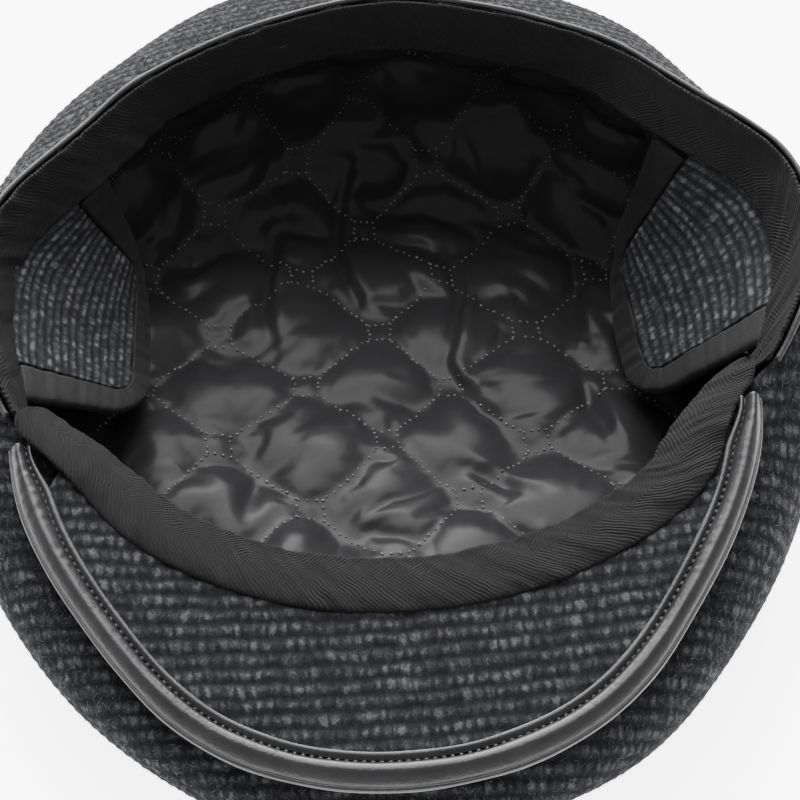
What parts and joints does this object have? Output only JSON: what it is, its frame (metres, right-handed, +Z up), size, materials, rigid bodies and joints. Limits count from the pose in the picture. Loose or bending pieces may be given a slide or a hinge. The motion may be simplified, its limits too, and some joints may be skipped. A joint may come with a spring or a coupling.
{
  "type": "flat cap",
  "caption": "Soft cloth flat cap lying upside down on its crown, with a stiff bound peak, a padded lining, sweatband tape and ear flaps folded inside.",
  "frame": {"origin": "on the table, in the flat patch of the crown that the cap lies on, under the middle of the head opening", "axes": "+Z up from the table towards the head opening, -Y towards the peak, +X to the right of a viewer who faces the peak's edge"},
  "size_m": [0.2146, 0.2456, 0.08],
  "materials": {
    "wool": "woven wool, charcoal with light grey flecks",
    "satin_lining": "quilted satin, glossy",
    "leather": "smooth, half gloss",
    "twill_tape": "herringbone twill, matte",
    "bias_tape": "plain bias tape, matte",
    "cord": "thin smooth cord"
  },
  "bodies": {
    "root": {"crown": "wool", "lining": "satin_lining", "peak": "wool", "peak_binding": "leather", "sweatband_front": "twill_tape", "sweatband_back": "twill_tape", "rim_piping": "cord", "ear_flap_left": "wool", "flap_binding_left": "bias_tape", "ear_flap_right": "wool", "flap_binding_right": "bias_tape"}
  },
  "joints": []
}
